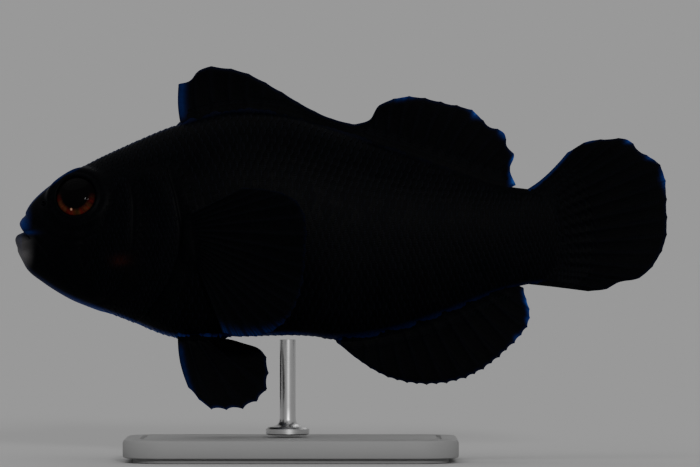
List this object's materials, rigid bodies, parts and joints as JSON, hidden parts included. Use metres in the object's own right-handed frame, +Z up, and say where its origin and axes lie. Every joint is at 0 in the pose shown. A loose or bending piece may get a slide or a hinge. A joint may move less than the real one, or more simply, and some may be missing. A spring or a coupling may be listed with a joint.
{
  "type": "clownfish display model",
  "caption": "Life-size all-black clownfish with spread fins, cupped side fins and a blunt snout, held over a small flat plate by one short rod.",
  "frame": {"origin": "on the table under the middle of the fish's length, at the bottom of the stand's plate", "axes": "+X from the snout to the tail, +Y to the fish's right side, +Z up"},
  "size_m": [0.09, 0.0322, 0.0542],
  "materials": {
    "skin": "near-black scaled skin with a satin gloss",
    "fin": "near-black fin membrane over rays",
    "eye": "wet black eye with a copper iris",
    "stand_plate": "matt grey paint on a steel plate",
    "stand_rod": "satin steel"
  },
  "bodies": {
    "root": {"head": "skin", "lower_jaw": "skin", "gill_cover_left": "skin", "gill_cover_right": "skin", "trunk": "skin", "tail_stalk": "skin", "dorsal_fin_spiny": "fin", "dorsal_fin_soft": "fin", "anal_fin": "fin", "caudal_fin": "fin", "pectoral_fin_left": "fin", "pectoral_fin_right": "fin", "pelvic_fin_left": "fin", "pelvic_fin_right": "fin", "eye_left": "eye", "eye_right": "eye", "stand_plate": "stand_plate", "stand_rod": "stand_rod"}
  },
  "joints": []
}
